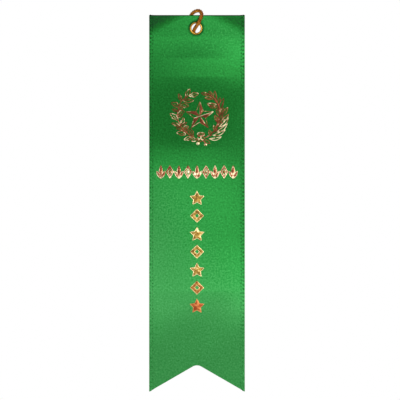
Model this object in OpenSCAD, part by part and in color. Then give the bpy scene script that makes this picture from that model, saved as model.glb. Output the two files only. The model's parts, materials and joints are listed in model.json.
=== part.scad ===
// Award ribbon: a folded satin ribbon with a swallow tail, a brass eyelet, a hanging cord,
// a card in the fold behind it, and a star, a laurel wreath and ornaments stamped in foil.
// Millimetres. The origin is the centre of the eyelet. +Z is up, and the face looks along -Y.

/* [Ribbon] */
// Width across the selvedges
ribbon_w = 50.8; // [48:0.1:64]
// Length from the fold to the points of the swallow tail
ribbon_l = 200; // [195:1:260]
// Thickness of the satin
ribbon_t = 0.3; // [0.2:0.05:0.4]
// Length of the flap folded behind the top
flap_l = 22; // [16:1:24]
// Slope of the swallow tail's edges, in degrees below level
tail_angle = 30; // [20:1:40]
// Radius at the root of the swallow tail
tail_root_r = 4.5; // [2:0.5:8]
// Height of the bend below the eyelet, where the tail lifts
bend_drop = 23.5; // [18:0.5:28]

/* [Card] */
// Width of the card in the fold
card_w = 44.5; // [30:0.5:47]
// Length of the card
card_l = 70; // [40:1:90]
// Thickness of the card
card_t = 0.3; // [0.2:0.05:0.4]
// Air between the ribbon's tail and the card
card_gap = 0.3; // [0.2:0.05:0.5]

/* [Eyelet] */
// Distance from the fold down to the centre of the eyelet
eyelet_drop = 7; // [6:0.5:9]
// Distance from the eyelet's centre to the ribbon's middle line, to the right
ribbon_x = 0.5; // [0:0.1:0.8]
// Diameter of the hole through the eyelet
eyelet_bore = 4.9; // [4.8:0.1:5.2]
// Outer diameter of the front lip
eyelet_front_d = 6.9; // [6.8:0.1:7.4]
// Outer diameter of the clinched back lip
eyelet_back_d = 6.7; // [6.2:0.1:7]
// Thickness of the eyelet's barrel
barrel_t = 0.25; // [0.2:0.05:0.4]

/* [Cord] */
// Diameter of the cord
cord_d = 1.9; // [1.2:0.1:1.9]
// Radius of the knot that closes the hanging loop
knot_r = 2.6; // [2.2:0.1:2.8]

/* [Foil] */
// Thickness of the stamped foil
foil_t = 0.08; // [0.05:0.01:0.15]
// Height of the star's centre below the eyelet
star_drop = 46.7; // [46:0.1:52]
// Radius of the star's points
star_r = 7.7; // [6:0.1:8.5]
// Height of the wreath's centre below the eyelet
wreath_drop = 47.3; // [46.5:0.1:52]
// Radius of the wreath's stems
wreath_r = 12; // [11.8:0.1:14]
// Height of the row of marks below the eyelet
row_drop = 76.3; // [74:0.1:82]
// Pitch of the marks in the row
row_pitch = 4.8; // [4.6:0.1:5.2]
// Height of a mark in the row
row_mark_h = 6.9; // [5:0.1:7.5]
// Height of the first mark of the column below the eyelet
column_drop = 90; // [89:0.5:95]
// Pitch of the marks in the column
column_pitch = 9.55; // [9:0.05:10]
// Height of a mark in the column
column_mark_h = 7; // [5:0.1:8]

/* [Hidden] */
$fn = 48;
ROW_NODES = [for (i = [1:9]) str("foil_row_", i)];
COLUMN_NODES = [for (i = [1:7]) str("foil_column_", i)];
past = 1;

// Heights
top_z = eyelet_drop;
tip_z = top_z - ribbon_l;
bend_z = -bend_drop;
flap_z = top_z - flap_l;
seam_gap = 0.4;

// Depths, front to back
face_y = -ribbon_t;
card_y = card_gap;
flap_y = card_y + card_t;
back_y = flap_y + ribbon_t;
fold_r = (back_y - face_y) / 2;
fold_y = (back_y + face_y) / 2;
fold_z = top_z - fold_r;
card_top_z = fold_z - 0.2;

// The swallow tail's root is an arc that its two straight edges touch
root_edge_x = tail_root_r * sin(tail_angle);
root_edge_z = tip_z + (ribbon_w / 2 - root_edge_x) * tan(tail_angle);
root_z = root_edge_z - tail_root_r * cos(tail_angle);

// Eyelet
bore_r = eyelet_bore / 2;
hole_clearance = 0.05;
hole_r = bore_r + barrel_t + hole_clearance;

// The star and the wreath, right of the ribbon's middle line
emblem_x = 1.5;
star_root_share = 0.42;
star_hollow_share = 0.58;
branch_leaves = 9;
branch_start = 14;
branch_end = 155;
stem_overlap = 4;
leaf_spread = 38;
leaf_foot = 0.3;
inner_leaf_share = 0.9;
top_leaf_share = 0.8;
stem_w = 0.5;
broad_leaf = [4.3, 2];
slim_leaf = [4.9, 1.4];

// The wreath's tie: a knot, and four loops and ends that spread from it
tie_drop = 0.2;
tie_knot_r = 0.8;
tie_leaves = [[75, 2.5, 1.1], [150, 3, 1]];

// A sprig of the row: its middle leaf's width, and its side leaves
sprig_w = 1.9;
sprig_side_w = 1.3;
sprig_side_share = 0.62;
sprig_side_turn = 28;

// A lozenge of the row, its opening and the bead in it
lozenge_w = 4;
lozenge_hole_w = 2.5;
lozenge_hole_share = 0.62;
bead_r = 0.55;
bead_bar_w = 0.5;
bead_bar_share = 0.8;

// The opening of a lozenge in the column
column_hole_share = 0.4;

// Two joints. The tail lifts forwards about a line along X at y = -2, at the height bend_z.
// The hanging loop swings back and up about a line along X at y = 5.4, at the height pivot_z.

// The cord's route, laid by hand. Each strand of the loop runs from the pivot down to the
// knot. The wrap runs up behind the eyelet, forwards through it, up over its lip and the
// fold, and down again behind.
cord_sides = 8;
pivot_z = -10;
wrap_route = [
    [0.4, 3.0, pivot_z], [0.2, 3.1, -7.5], [-0.3, 3.2, -5.2], [-0.9, 3.3, -3.6],
    [-1.2, 3.0, -2.4], [-1.3, 2.2, -1.6], [-1.0, 1.1, -0.8], [-0.5, 0.2, 0.1],
    [0.1, -0.8, 1.0], [0.8, -1.6, 2.0], [1.5, -2.0, 3.2], [2.1, -1.8, 4.6],
    [2.7, -1.6, 5.9], [3.0, -1.1, 7.2], [2.8, -0.5, 8.2], [2.3, 0.1, 8.9],
    [1.5, 0.7, 9.3], [0.5, 1.2, 9.3], [-0.6, 1.7, 8.9], [-1.7, 2.1, 8.1],
    [-2.7, 2.4, 6.8], [-3.4, 2.6, 5.2], [-4.0, 2.8, 3.2], [-4.2, 2.9, 0.8],
    [-4.1, 3.0, -2.0], [-3.8, 3.0, -4.6], [-3.4, 3.0, -7.2], [-3.0, 3.0, pivot_z],
];
inner_strand = [
    [0.4, 3.0, pivot_z], [0.6, 2.8, -16], [0.9, 2.4, -28], [1.2, 2.1, -42],
    [1.4, 2.1, -56], [1.4, 2.4, -70], [1.2, 2.9, -82], [1.0, 3.3, -91], [0.9, 3.4, -98],
];
outer_strand = [
    [-3.0, 3.0, pivot_z], [-2.8, 2.8, -16], [-2.5, 2.4, -28], [-2.2, 2.1, -42],
    [-1.9, 2.1, -56], [-1.6, 2.4, -70], [-1.3, 2.9, -82], [-1.1, 3.3, -91], [-1.0, 3.4, -98],
];

// Knot and the two ends below it
knot_top_z = inner_strand[len(inner_strand) - 1][2];
knot_x = -0.05;
knot_y = 3.4;
knot_neck_r = 2;
knot_belly_h = 1.6;
knot_h = 5.6;
cord_end_l = 6;
cord_end_x = 1;

// ---- Shapes that repeat ----

// Lays a flat outline, drawn as the face is seen, into a sheet from y to y + t
module sheet_xz(y, t) {
    translate([0, y + t, 0]) rotate([90, 0, 0]) linear_extrude(t) children();
}

// Extrudes an outline drawn in depth and height across the ribbon's width
module across_ribbon() {
    translate([ribbon_x - ribbon_w / 2, 0, 0])
        rotate([90, 0, 90]) linear_extrude(ribbon_w) children();
}

// Hole for the eyelet's barrel, along Y through everything
module barrel_hole() {
    translate([0, face_y - past, 0])
        rotate([-90, 0, 0]) cylinder(r = hole_r, h = back_y - face_y + 2 * past);
}

// Half of a disc: the part above y = 0, or below it when side is -1
module half_disc(r, side) {
    intersection() {
        circle(r);
        translate([-r, side > 0 ? 0 : -r]) square([2 * r, r]);
    }
}

// A pointed leaf, from its foot at the origin up to its tip
module leaf(l, w) {
    r = (l * l + w * w) / (4 * w);
    intersection() {
        translate([r - w / 2, l / 2]) circle(r);
        translate([w / 2 - r, l / 2]) circle(r);
    }
}

// Points 0, 2, 4... are a star's tips, and the ones between are its roots
function star_point(i, r) =
    (i % 2 == 0 ? r : r * star_root_share) * [cos(90 + 36 * i), sin(90 + 36 * i)];

module star(r) {
    polygon([for (i = [0:9]) star_point(i, r)]);
}

module lozenge(w, h) {
    polygon([[0, h / 2], [w / 2, 0], [0, -h / 2], [-w / 2, 0]]);
}

// A stamping in foil on the face, centred at height z and at x from the ribbon's middle line
module foil(x, z) {
    translate([ribbon_x + x, 0, z]) sheet_xz(face_y - foil_t, foil_t) children();
}

// ---- The cord's tube ----

function unit(v) = v / norm(v);

// The way the cord heads at each point. Both ends are cut level.
function headings(route, first, last) = [
    for (i = [0:len(route) - 1])
        i == 0 ? first : i == len(route) - 1 ? last : unit(route[i + 1] - route[i - 1])
];

// A side direction at each point, turned as little as can be from the one before
function side_ways(ways, i = 0, before = [1, 0, 0]) =
    i == len(ways) ? [] :
    let (side = unit(before - (before * ways[i]) * ways[i]))
    concat([side], side_ways(ways, i + 1, side));

function ring_points(centre, way, side) = [
    for (k = [0:cord_sides - 1])
        let (a = 360 * k / cord_sides)
        centre + cord_d / 2 * (cos(a) * side + sin(a) * cross(way, side))
];

module tube(route, first, last) {
    ways = headings(route, first, last);
    sides = side_ways(ways);
    n = cord_sides;
    rings = len(route);
    points = [for (i = [0:rings - 1]) each ring_points(route[i], ways[i], sides[i])];
    walls = [
        for (i = [0:rings - 2], k = [0:n - 1])
            [i * n + k, (i + 1) * n + k, (i + 1) * n + (k + 1) % n, i * n + (k + 1) % n]
    ];
    start_cap = [for (k = [0:n - 1]) k];
    end_cap = [for (k = [0:n - 1]) rings * n - 1 - k];
    polyhedron(points, concat([start_cap], walls, [end_cap]));
}

// ---- Sub-parts ----

// The satin from the bend up, over the fold and down the flap
module ribbon_head() {
    front_z = bend_z + seam_gap / 2;
    color("green") difference() {
        across_ribbon() {
            translate([face_y, front_z]) square([ribbon_t, fold_z - front_z]);
            translate([flap_y, flap_z]) square([ribbon_t, fold_z - flap_z]);
            translate([fold_y, fold_z]) difference() {
                half_disc(fold_r, 1);
                circle(fold_r - ribbon_t);
            }
        }
        barrel_hole();
    }
}

// The opening of the swallow tail about x = 0: two straight edges and a round root
module swallow_tail() {
    foot_x = ribbon_w / 2 + past;
    foot_z = tip_z - past * tan(tail_angle);
    translate([0, root_z]) circle(tail_root_r);
    polygon([
        [-root_edge_x, root_edge_z], [root_edge_x, root_edge_z],
        [foot_x, foot_z], [foot_x, foot_z - past],
        [-foot_x, foot_z - past], [-foot_x, foot_z],
    ]);
}

// The satin from the bend down to the swallow tail
module ribbon_tail() {
    tail_top_z = bend_z - seam_gap / 2;
    color("green") sheet_xz(face_y, ribbon_t) translate([ribbon_x, 0]) difference() {
        translate([-ribbon_w / 2, tip_z]) square([ribbon_w, tail_top_z - tip_z]);
        swallow_tail();
    }
}

module event_card() {
    card_foot = [ribbon_x - card_w / 2, card_y, card_top_z - card_l];
    color("ivory") difference() {
        translate(card_foot) cube([card_w, card_t, card_l]);
        barrel_hole();
    }
}

// One drawn brass piece: the barrel, its rolled front lip and its clinched back lip
module eyelet() {
    front_lip_r = (eyelet_front_d / 2 - bore_r) / 2;
    back_lip_r = (eyelet_back_d / 2 - bore_r) / 2;
    color("gold") rotate([-90, 0, 0]) rotate_extrude() {
        translate([bore_r, face_y]) square([barrel_t, back_y - face_y]);
        translate([bore_r + front_lip_r, face_y]) half_disc(front_lip_r, -1);
        translate([bore_r + back_lip_r, back_y]) half_disc(back_lip_r, 1);
    }
}

module cord_wrap() {
    color("chocolate") tube(wrap_route, [0, 0, 1], [0, 0, -1]);
}

module cord_loop() {
    color("chocolate") tube(inner_strand, [0, 0, -1], [0, 0, -1]);
    color("chocolate") tube(outer_strand, [0, 0, -1], [0, 0, -1]);
}

// The tight knot, with the cord's two short ends below it
module cord_knot() {
    belly_top = (knot_belly_h - knot_h) / 2;
    belly_foot = belly_top - knot_belly_h;
    color("chocolate") translate([knot_x, knot_y, knot_top_z]) {
        rotate_extrude() polygon([
            [0, 0], [knot_neck_r, 0], [knot_r, belly_top], [knot_r, belly_foot],
            [knot_neck_r, -knot_h], [0, -knot_h],
        ]);
        for (side = [-1, 1])
            translate([side * cord_end_x, 0, -knot_h - cord_end_l])
                cylinder(d = cord_d, h = cord_end_l);
    }
}

// Five arms, each with one half solid and the other cut out to a thin outline
module foil_star() {
    color("peru") foil(emblem_x, -star_drop) difference() {
        star(star_r);
        for (i = [0:2:8]) {
            half_arm = [[0, 0], star_point(i, star_r), star_point(i + 1, star_r)];
            middle = (half_arm[0] + half_arm[1] + half_arm[2]) / 3;
            polygon([for (p = half_arm) middle + star_hollow_share * (p - middle)]);
        }
    }
}

// The right branch of a laurel wreath, from beside the tie up to the top. size is a leaf's
// length and width.
module branch(size) {
    leaf_l = size[0];
    leaf_w = size[1];
    step = (branch_end - branch_start) / (branch_leaves - 1);
    stem_ends = [branch_start - stem_overlap, branch_end];
    reach = 2 * wreath_r;
    intersection() {
        difference() {
            circle(wreath_r + stem_w / 2);
            circle(wreath_r - stem_w / 2);
        }
        polygon(concat([[0, 0]], [
            for (k = [0:5])
                let (a = stem_ends[0] + (stem_ends[1] - stem_ends[0]) * k / 5)
                reach * [sin(a), -cos(a)]
        ]));
    }
    for (i = [0:branch_leaves - 1]) {
        a = branch_start + step * i;
        translate(wreath_r * [sin(a), -cos(a)]) {
            rotate(a - 90 - leaf_spread) translate([0, -leaf_foot]) leaf(leaf_l, leaf_w);
            rotate(a - 90 + leaf_spread) translate([0, -leaf_foot]) leaf(leaf_l * inner_leaf_share, leaf_w);
        }
    }
    translate(wreath_r * [sin(branch_end), -cos(branch_end)])
        rotate(branch_end - 90) translate([0, -leaf_foot]) leaf(leaf_l * top_leaf_share, leaf_w);
}

module foil_wreath_left() {
    color("peru") foil(emblem_x, -wreath_drop) mirror([1, 0]) branch(broad_leaf);
}

module foil_wreath_right() {
    color("peru") foil(emblem_x, -wreath_drop) branch(slim_leaf);
}

module foil_wreath_tie() {
    color("peru") foil(emblem_x, -wreath_drop - wreath_r - tie_drop) {
        circle(tie_knot_r);
        for (side = [-1, 1], part = tie_leaves) rotate(side * part[0]) leaf(part[1], part[2]);
    }
}

// A three-leaved sprig, on the odd places of the row
module sprig() {
    translate([0, -row_mark_h / 2]) {
        leaf(row_mark_h, sprig_w);
        for (side = [-1, 1])
            rotate(side * sprig_side_turn) leaf(row_mark_h * sprig_side_share, sprig_side_w);
    }
}

// An open lozenge round a bead, on the even places of the row
module beaded_lozenge() {
    difference() {
        lozenge(lozenge_w, row_mark_h);
        lozenge(lozenge_hole_w, row_mark_h * lozenge_hole_share);
    }
    lozenge(bead_bar_w, row_mark_h * bead_bar_share);
    circle(bead_r);
}

module foil_row_mark(i) {
    x = (i - (len(ROW_NODES) + 1) / 2) * row_pitch;
    color("peru") foil(x, -row_drop) if (i % 2 == 1) sprig(); else beaded_lozenge();
}

// Stars on the odd places of the column and open lozenges on the even ones
module foil_column_mark(i) {
    z = -column_drop - (i - 1) * column_pitch;
    column_star_r = column_mark_h / (1 + cos(36));
    star_low = column_star_r * (1 - cos(36)) / 2;
    hollow = column_mark_h * column_hole_share;
    color("goldenrod") foil(0, z)
        if (i % 2 == 1) translate([0, -star_low]) star(column_star_r);
        else difference() {
            lozenge(column_mark_h, column_mark_h);
            lozenge(hollow, hollow);
        }
}

ribbon_head();
ribbon_tail();
event_card();
eyelet();
cord_wrap();
cord_loop();
cord_knot();
foil_star();
foil_wreath_left();
foil_wreath_right();
foil_wreath_tie();
for (i = [1:len(ROW_NODES)]) foil_row_mark(i);
for (i = [1:len(COLUMN_NODES)]) foil_column_mark(i);
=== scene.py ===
# %% [markdown]
# # A satin award ribbon
# The ribbon hangs upright from a brass eyelet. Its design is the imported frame: flat satin, an eyelet,
# a cord and foil marks at their real sizes. This lesson gives each of them its real surface and shape:
# satin that leans and waves a little, a cord twisted from three plies, drawn brass, and foil that was
# pressed into the cloth with a hot die. Every place is worked out from the frame's own boxes.

# %% The frame and the numbers that come from it
import json
import math

import bmesh
import bpy
import numpy as np
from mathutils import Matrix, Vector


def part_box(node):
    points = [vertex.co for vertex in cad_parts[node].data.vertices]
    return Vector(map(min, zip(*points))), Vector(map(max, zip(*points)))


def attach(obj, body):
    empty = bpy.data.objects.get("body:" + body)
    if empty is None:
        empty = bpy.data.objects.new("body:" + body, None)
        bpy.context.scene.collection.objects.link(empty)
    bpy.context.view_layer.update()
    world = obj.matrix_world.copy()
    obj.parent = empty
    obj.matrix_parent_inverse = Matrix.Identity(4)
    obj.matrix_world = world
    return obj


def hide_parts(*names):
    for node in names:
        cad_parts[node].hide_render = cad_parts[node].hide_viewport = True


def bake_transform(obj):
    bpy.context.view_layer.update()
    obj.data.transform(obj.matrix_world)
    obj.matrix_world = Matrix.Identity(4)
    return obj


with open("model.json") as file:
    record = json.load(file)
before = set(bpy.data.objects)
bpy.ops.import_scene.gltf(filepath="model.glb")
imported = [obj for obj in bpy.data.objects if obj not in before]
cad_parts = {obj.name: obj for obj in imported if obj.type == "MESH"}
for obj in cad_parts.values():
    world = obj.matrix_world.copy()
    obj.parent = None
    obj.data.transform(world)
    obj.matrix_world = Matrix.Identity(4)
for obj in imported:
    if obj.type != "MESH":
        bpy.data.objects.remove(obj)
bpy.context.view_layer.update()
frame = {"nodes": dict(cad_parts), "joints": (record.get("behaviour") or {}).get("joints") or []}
MM = 0.001

tail_low, tail_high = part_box("ribbon_tail")
head_low, head_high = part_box("ribbon_head")
half_w = (tail_high.x - tail_low.x) / 2
mid_x = (tail_high.x + tail_low.x) / 2
top_z = head_high.z
tip_z = tail_low.z
satin_t = tail_high.y - tail_low.y
face_y = tail_low.y
flap_z = min(v.co.z for v in frame["nodes"]["ribbon_head"].data.vertices if v.co.y > satin_t)
joints = {joint["name"]: joint for joint in frame["joints"]}
swing_z = joints["loop_swing"]["pos_m"][2]
print(f"ribbon {2 * half_w:.4f} m wide, {top_z - tip_z:.4f} m long, flap down to {flap_z:.4f}")

# %% [markdown]
# ## Small helpers
# Every piece is an object with a mesh, and every surface is a few shader nodes. Each helper does one
# small job, so the cells after them only say what is special about a piece.

# %% Objects and nodes
def placed(name, data):
    """A new object in the scene that shows this data."""
    made = bpy.data.objects.new(name, data)
    bpy.context.scene.collection.objects.link(made)
    return made


def node(tree, kind, inputs=(), **settings):
    """Adds a node. Each input is a value, or another node's output to link to."""
    made = tree.nodes.new(kind)
    for name, value in settings.items():
        setattr(made, name, value)
    for key, value in dict(inputs).items():
        if isinstance(value, bpy.types.NodeSocket):
            tree.links.new(value, made.inputs[key])
        else:
            made.inputs[key].default_value = value
    return made


# %% Materials
def new_material(name, **settings):
    """A material with its node tree and its shader. Settings are the shader's own numbers."""
    made = bpy.data.materials.new(name)
    made.use_nodes = True
    shader = made.node_tree.nodes["Principled BSDF"]
    for key, value in settings.items():
        shader.inputs[key.replace("_", " ")].default_value = value
    return made, made.node_tree, shader


def noise(tree, scale, detail, roughness=0.5, place=None):
    """Grey patches, 0 to 1, over a piece's own metres or over the places given."""
    if place is None:
        place = node(tree, "ShaderNodeTexCoord").outputs["Object"]
    return node(tree, "ShaderNodeTexNoise", {"Vector": place, "Scale": scale, "Detail": detail,
                                             "Roughness": roughness}).outputs["Fac"]


def ramp(tree, factor, stops):
    """A grey value turned into a colour. Each stop is (place, colour)."""
    made = node(tree, "ShaderNodeValToRGB", {"Fac": factor})
    marks = made.color_ramp.elements
    while len(marks) < len(stops):
        marks.new(0.5)
    for mark, (place, colour) in zip(marks, stops):
        mark.position = place
        mark.color = (*colour, 1)
    return made.outputs["Color"]


def with_carried(tree, grey, gain, offset, attribute):
    """A grey value times gain, plus offset, plus an attribute that the mesh carries."""
    carried = node(tree, "ShaderNodeAttribute", attribute_name=attribute)
    level = node(tree, "ShaderNodeMath", {0: grey, 1: gain, 2: offset}, operation="MULTIPLY_ADD")
    return node(tree, "ShaderNodeMath", {0: level.outputs[0], 1: carried.outputs["Fac"]},
                operation="ADD").outputs[0]


def dress(tree, shader, colour, height=None, strength=0.0, depth=0.0):
    """Links a shader's colour, and its fine relief when there is a grey height for it."""
    tree.links.new(colour, shader.inputs["Base Color"])
    if height is not None:
        bump = node(tree, "ShaderNodeBump", {"Height": height, "Strength": strength, "Distance": depth})
        tree.links.new(bump.outputs[0], shader.inputs["Normal"])


# %% [markdown]
# ## Camera, light and floor
# The ribbon is looked at square on from far away, so the camera is orthographic: its sides stay
# parallel. A pale world keeps the backdrop white, while a dimmer light from all round leaves room
# for three soft lights to model the satin. The floor lies a little below the ribbon's points.

# %% Camera
view_w = 0.2124
view_x = mid_x + 1.6 * MM
view_drop = 98.2 * MM
camera_distance = 0.8

camera_data = bpy.data.cameras.new("camera")
camera_data.type = "ORTHO"
camera_data.ortho_scale = view_w
camera = placed("camera", camera_data)
camera.location = (view_x, -camera_distance, top_z - view_drop)
camera.rotation_euler = (math.radians(90), 0, 0)
bpy.context.scene.camera = camera
bpy.context.scene.view_settings.view_transform = "Standard"

# %% World and lights
white = (1, 1, 1, 1)
backdrop = 1.0
soft_fill = 0.24

world = bpy.data.worlds.new("studio")
world.use_nodes = True
bpy.context.scene.world = world
sky = world.node_tree
sky.nodes.clear()
ray = node(sky, "ShaderNodeLightPath")
shown = node(sky, "ShaderNodeBackground", {"Color": white, "Strength": backdrop})
lighting = node(sky, "ShaderNodeBackground", {"Color": white, "Strength": soft_fill})
either = node(sky, "ShaderNodeMixShader", {0: ray.outputs["Is Camera Ray"], 1: lighting.outputs[0],
                                           2: shown.outputs[0]})
node(sky, "ShaderNodeOutputWorld", {"Surface": either.outputs[0]})


def soft_light(name, place, wide, high, power, aim_z):
    """A soft light at a place in metres, turned to the ribbon's middle line at height aim_z."""
    data = bpy.data.lights.new(name, "AREA")
    data.shape = "RECTANGLE"
    data.size = wide
    data.size_y = high
    data.energy = power
    light = placed(name, data)
    light.location = place
    aim = light.location.copy()
    aim.negate()
    aim.z += aim_z
    light.rotation_euler = aim.to_track_quat("-Z", "Y").to_euler()


middle_z = (top_z + tip_z) / 2
soft_light("key", (0.32, -0.72, 0.10), wide=0.5, high=0.28, power=5.0, aim_z=middle_z)
soft_light("fill", (-0.5, -0.6, -0.15), wide=0.5, high=0.5, power=1.0, aim_z=middle_z)
soft_light("back", (-0.3, 0.6, 0.3), wide=0.5, high=0.5, power=2.2, aim_z=middle_z)

# %% Floor
floor_drop = 22 * MM
floor_half = 1.5
floor_corners = [(x * floor_half, y * floor_half, tip_z - floor_drop)
                 for x, y in ((-1, -1), (1, -1), (1, 1), (-1, 1))]
floor_mesh = bpy.data.meshes.new("floor")
floor_mesh.from_pydata(floor_corners, [], [(0, 1, 2, 3)])
floor_mesh.materials.append(new_material("pale_floor", Base_Color=(0.86, 0.86, 0.85, 1), Roughness=0.7)[0])
floor = placed("floor", floor_mesh)
print("camera, lights and floor are in place")

# %% [markdown]
# ## The cord
# The cord is one length of viscose, laid up from three plies. It ties in a knot behind the ribbon, runs
# up, passes forward through the eyelet, goes over the folded top and comes down again. Each ply is a
# tube that winds round one shared route, so the slanting marks of the lay are real grooves. The route's
# points are the ones the frame's own cord follows.

# %% Faces between rings of points
def ring_quads(rings, n, closed=False):
    """Faces between each ring of n points and the next. When closed, the last ring meets the first."""
    return [(r * n + k, r * n + (k + 1) % n, (r + 1) % rings * n + (k + 1) % n, (r + 1) % rings * n + k)
            for r in range(rings if closed else rings - 1) for k in range(n)]


# %% A smooth route through points, and the tube round a route
steps_between = 24
not_along = (0.0, 0.31, 0.95)


def smooth_route(points, step):
    """A curve through all the points (Catmull-Rom), as points evenly spaced by about one step."""
    p = np.array(points, float)
    p = np.vstack([2 * p[0] - p[1], p, 2 * p[-1] - p[-2]])
    t = np.linspace(0, 1, steps_between, endpoint=False)[:, None]
    parts = []
    for a, b, c, d in zip(p[:-3], p[1:-2], p[2:-1], p[3:]):
        bend = (2 * a - 5 * b + 4 * c - d) * t ** 2 + (3 * b - a - 3 * c + d) * t ** 3
        parts.append((2 * b + (c - a) * t + bend) / 2)
    dense = np.vstack(parts + [p[-2:-1]])
    run = np.concatenate([[0], np.cumsum(np.linalg.norm(np.diff(dense, axis=0), axis=1))])
    even = np.linspace(0, run[-1], max(2, round(run[-1] / step) + 1))
    return np.column_stack([np.interp(even, run, dense[:, k]) for k in range(3)]), even


def side_frames(route):
    """Two directions square to the route at each point, turned as little as can be along it."""
    way = np.gradient(route, axis=0)
    way /= np.linalg.norm(way, axis=1)[:, None]
    side = np.cross(way[0], not_along)
    sides = []
    for w in way:
        side = side - w * (side @ w)
        side = side / np.linalg.norm(side)
        sides.append(side)
    sides = np.array(sides)
    return sides, np.cross(way, sides)


def tube(route, radius, ring_sides):
    """A closed round tube: points, faces, and each point's place (round, along) for its texture."""
    side, other = side_frames(route)
    angle = np.linspace(0, 2 * np.pi, ring_sides, endpoint=False)
    ring = np.cos(angle)[None, :, None] * side[:, None] + np.sin(angle)[None, :, None] * other[:, None]
    points = (route[:, None] + radius * ring).reshape(-1, 3)
    rings = len(route)
    faces = ring_quads(rings, ring_sides)
    faces.append(tuple(range(ring_sides - 1, -1, -1)))
    faces.append(tuple(range((rings - 1) * ring_sides, rings * ring_sides)))
    run = np.concatenate([[0], np.cumsum(np.linalg.norm(np.diff(route, axis=0), axis=1))])
    place = np.column_stack([np.tile(angle / (2 * np.pi), rings), np.repeat(run, ring_sides)])
    return points, faces, place


# %% Three plies round one route
ply_count = 3
cord_d = 1.9 * MM
ply_r = 0.29 * cord_d
ply_reach = 0.25 * cord_d
lay_pitch = 3.4 * MM
route_step = 0.28 * MM
ply_sides = 10


def laid_cord(points):
    """The plies of a cord along a route: their points, faces and texture places, and the smooth route."""
    route, run = smooth_route(points, route_step)
    side, other = side_frames(route)
    turn = 2 * np.pi * (run / lay_pitch)
    all_points, all_faces, all_places = [], [], []
    for ply in range(ply_count):
        angle = (turn + 2 * np.pi * ply / ply_count)[:, None]
        centre = route + ply_reach * (np.cos(angle) * side + np.sin(angle) * other)
        points_now, faces_now, places_now = tube(centre, ply_r, ply_sides)
        first = sum(len(p) for p in all_points)
        all_points.append(points_now)
        all_faces += [tuple(first + v for v in f) for f in faces_now]
        all_places.append(places_now)
    return np.vstack(all_points), all_faces, np.vstack(all_places), route


def make_piece(name, points, faces, material, sharp_angle=40):
    """One mesh object at the origin, facing outwards, smooth except where faces meet at over sharp_angle."""
    mesh = bpy.data.meshes.new(name)
    mesh.from_pydata(np.asarray(points).tolist(), [], faces)
    shell = bmesh.new()
    shell.from_mesh(mesh)
    bmesh.ops.recalc_face_normals(shell, faces=shell.faces)
    shell.to_mesh(mesh)
    shell.free()
    mesh.shade_smooth()
    mesh.set_sharp_from_angle(angle=math.radians(sharp_angle))
    mesh.materials.append(material)
    return placed(name, mesh)


def texture_places(piece, places, span):
    """Gives a mesh its UV map from one place for each point, in metres, as shares of span."""
    mesh = piece.data
    uv = mesh.uv_layers.new(name="UVMap")
    corner = np.empty(len(mesh.loops), int)
    mesh.loops.foreach_get("vertex_index", corner)
    uv.data.foreach_set("uv", (places[corner] / span).astype(np.float32).ravel())


# %% The cord's colour: fine fibres slanting round each ply
cord_look, tree, shader = new_material(
    "viscose_cord", Roughness=0.36, Specular_Tint=(1.0, 0.65, 0.2, 1), Specular_IOR_Level=0.7)
cord_browns = [(0.12, (0.055, 0.007, 0.001)), (0.32, (0.27, 0.046, 0.003)), (0.56, (0.80, 0.32, 0.026))]
fibre_slant = 0.42
fibres_round = 9.0
fibres_along = 420.0
cord_uv = node(tree, "ShaderNodeUVMap", uv_map="UVMap")
spread = node(tree, "ShaderNodeMapping", {"Vector": cord_uv.outputs["UV"], "Rotation": (0, 0, fibre_slant),
                                          "Scale": (fibres_round, fibres_along, 1)})
fibre = node(tree, "ShaderNodeTexWave", {"Vector": spread.outputs[0], "Scale": 1.0, "Distortion": 2.2,
                                         "Detail": 3.0, "Detail Scale": 1.5}, bands_direction="X")
patch = noise(tree, scale=380.0, detail=3.0)
both = node(tree, "ShaderNodeMath", {0: fibre.outputs["Fac"], 1: patch}, operation="MULTIPLY")
dress(tree, shader, ramp(tree, both.outputs[0], cord_browns),
      height=fibre.outputs["Fac"], strength=0.5, depth=0.06 * MM)

# %% The cord's whole route, from one end through the knot, round the eyelet and back
knot_low, knot_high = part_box("cord_knot")
knot_x = (knot_low.x + knot_high.x) / 2
knot_y = (knot_low.y + knot_high.y) / 2
pivot_mm = swing_z / MM
wrap_route = [
    (0.4, 3.0, pivot_mm), (0.2, 3.1, -7.5), (-0.3, 3.2, -5.2), (-0.9, 3.3, -3.6),
    (-1.2, 3.0, -2.4), (-1.3, 2.2, -1.6), (-1.0, 1.1, -0.8), (-0.5, 0.2, 0.1),
    (0.1, -0.8, 1.0), (0.8, -1.6, 2.0), (1.5, -2.0, 3.2), (2.1, -1.8, 4.6),
    (2.7, -1.6, 5.9), (3.0, -1.1, 7.2), (2.8, -0.5, 8.2), (2.3, 0.1, 8.9),
    (1.5, 0.7, 9.3), (0.5, 1.2, 9.3), (-0.6, 1.7, 8.9), (-1.7, 2.1, 8.1),
    (-2.7, 2.4, 6.8), (-3.4, 2.6, 5.2), (-4.0, 2.8, 3.2), (-4.2, 2.9, 0.8),
    (-4.1, 3.0, -2.0), (-3.8, 3.0, -4.6), (-3.4, 3.0, -7.2), (-3.0, 3.0, pivot_mm),
]
inner_strand = [
    (0.6, 2.8, -16), (0.9, 2.4, -28), (1.2, 2.1, -42),
    (1.4, 2.1, -56), (1.4, 2.4, -70), (1.2, 2.9, -82), (1.0, 3.3, -91), (0.95, 3.4, -98),
]
outer_strand = [
    (-2.8, 2.8, -16), (-2.5, 2.4, -28), (-2.2, 2.1, -42),
    (-1.9, 2.1, -56), (-1.6, 2.4, -70), (-1.3, 2.9, -82), (-1.1, 3.3, -91), (-1.05, 3.4, -98),
]
cord_ends = [(1.0, 3.4, -101), (1.0, 3.4, -104), (1.3, 3.3, -107), (1.5, 3.1, -109.4)]
other_ends = [(-1.05, 3.4, -101), (-1.05, 3.4, -104), (-1.35, 3.5, -106.5), (-1.75, 3.6, -108.8)]
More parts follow.
